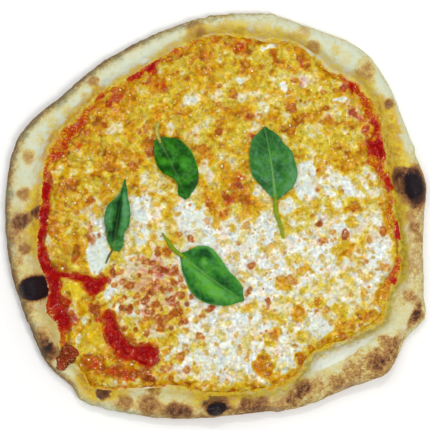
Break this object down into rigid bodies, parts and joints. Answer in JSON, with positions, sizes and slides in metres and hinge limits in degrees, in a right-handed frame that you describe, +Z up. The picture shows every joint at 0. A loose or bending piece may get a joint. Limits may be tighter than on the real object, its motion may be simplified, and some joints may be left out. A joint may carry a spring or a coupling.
{
  "type": "pizza",
  "caption": "Whole round hand-stretched margherita pizza with a puffed, blistered rim, tomato sauce, melted mozzarella and whole basil leaves.",
  "frame": {"origin": "middle of the pizza's plan bounding box, on the surface that it lies on", "axes": "+Z up out of the topping; +X to the right across the pizza's slightly longer way, seen from above with the single upright leaf right of the middle; +Y away"},
  "size_m": [0.3162, 0.3047, 0.0215],
  "materials": {
    "crust": "matte baked dough",
    "sauce": "wet tomato sauce",
    "cheese": "melted oily mozzarella",
    "baked_tomato": "baked glossy tomato",
    "basil": "soft-sheen leaf"
  },
  "bodies": {
    "root": {"crust": "crust", "sauce": "sauce", "cheese": "cheese", "tomato_piece": "baked_tomato", "basil_upper_left": "basil", "basil_upper_right": "basil", "basil_left": "basil", "basil_lower": "basil"}
  },
  "joints": []
}
